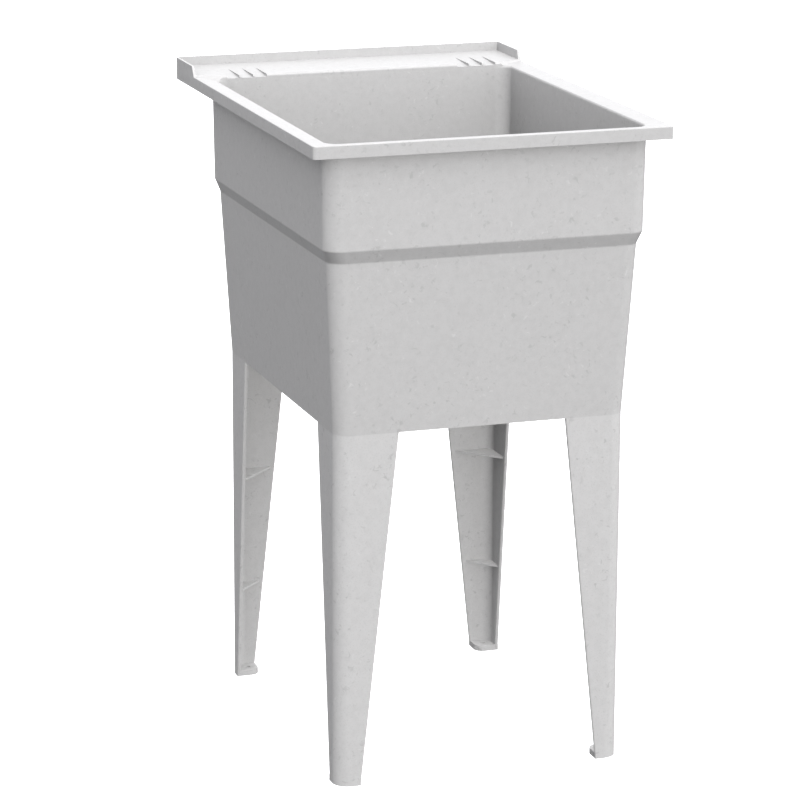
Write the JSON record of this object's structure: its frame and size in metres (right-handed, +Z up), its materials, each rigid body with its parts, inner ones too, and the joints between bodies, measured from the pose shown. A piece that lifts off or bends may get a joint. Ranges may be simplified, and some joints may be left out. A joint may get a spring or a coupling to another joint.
{
  "type": "utility laundry sink",
  "caption": "Free-standing moulded utility sink: deep stepped bowl, rear deck with soap-dish grooves and upstand, plug-in L-section legs, bottom drain with lift-out stopper.",
  "frame": {"origin": "on the floor, under the middle of the rim's outline", "axes": "+X towards the sink's right-hand side seen from the front, +Y towards the wall side with the deck, +Z up"},
  "size_m": [0.476, 0.648, 0.864],
  "materials": {
    "tub_plastic": "moulded polypropylene with fine grey granite speckle, satin",
    "leg_plastic": "moulded polypropylene with fine grey granite speckle, satin",
    "drain_steel": "spun and brushed stainless steel",
    "nut_plastic": "moulded polypropylene, plain white",
    "tail_plastic": "extruded polypropylene tube, plain white",
    "washer_fibre": "vulcanised fibre",
    "seal_rubber": "moulded black rubber",
    "stopper_rubber": "moulded black rubber"
  },
  "bodies": {
    "sink": {"tub": "tub_plastic", "leg_front_left": "leg_plastic", "leg_front_right": "leg_plastic", "leg_rear_left": "leg_plastic", "leg_rear_right": "leg_plastic", "drain_body": "drain_steel", "drain_gasket": "seal_rubber", "friction_washer": "washer_fibre", "drain_locknut": "nut_plastic", "coupling_nut": "nut_plastic", "tailpiece": "tail_plastic"},
    "stopper": {"stopper": "stopper_rubber"}
  },
  "joints": [
    {"name": "stopper_lift", "type": "slide", "parent": "sink", "child": "stopper", "axis": [0, 0, 1], "range_m": [0, 0.08]}
  ]
}
